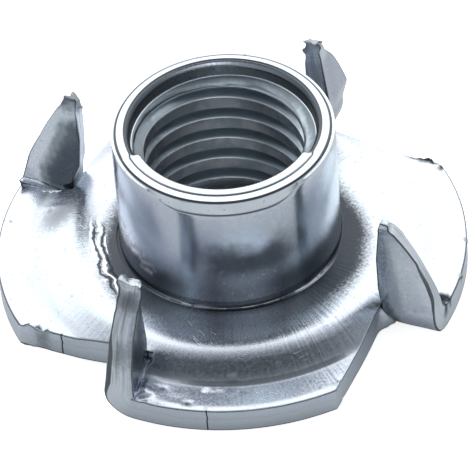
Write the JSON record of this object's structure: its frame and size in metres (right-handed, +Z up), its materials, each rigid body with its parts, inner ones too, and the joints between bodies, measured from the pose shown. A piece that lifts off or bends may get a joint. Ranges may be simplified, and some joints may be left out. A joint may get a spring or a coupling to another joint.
{
  "type": "tee nut",
  "caption": "Pressed steel nut for wood: a round flange with a tapped barrel drawn up through a low dome, and prongs folded up from the flange's rim to grip the timber.",
  "frame": {"origin": "on the barrel's axis, in the plane of the flange's underside, which is the middle of the base of the part's box", "axes": "+Z up the barrel towards its rim, +X along the fold line of one prong"},
  "size_m": [0.0254, 0.0254, 0.0102],
  "materials": {
    "zinc_plate": "bright zinc plate on pressed sheet steel, with plain sheared edges"
  },
  "bodies": {
    "root": {"tee_nut": "zinc_plate"}
  },
  "joints": []
}
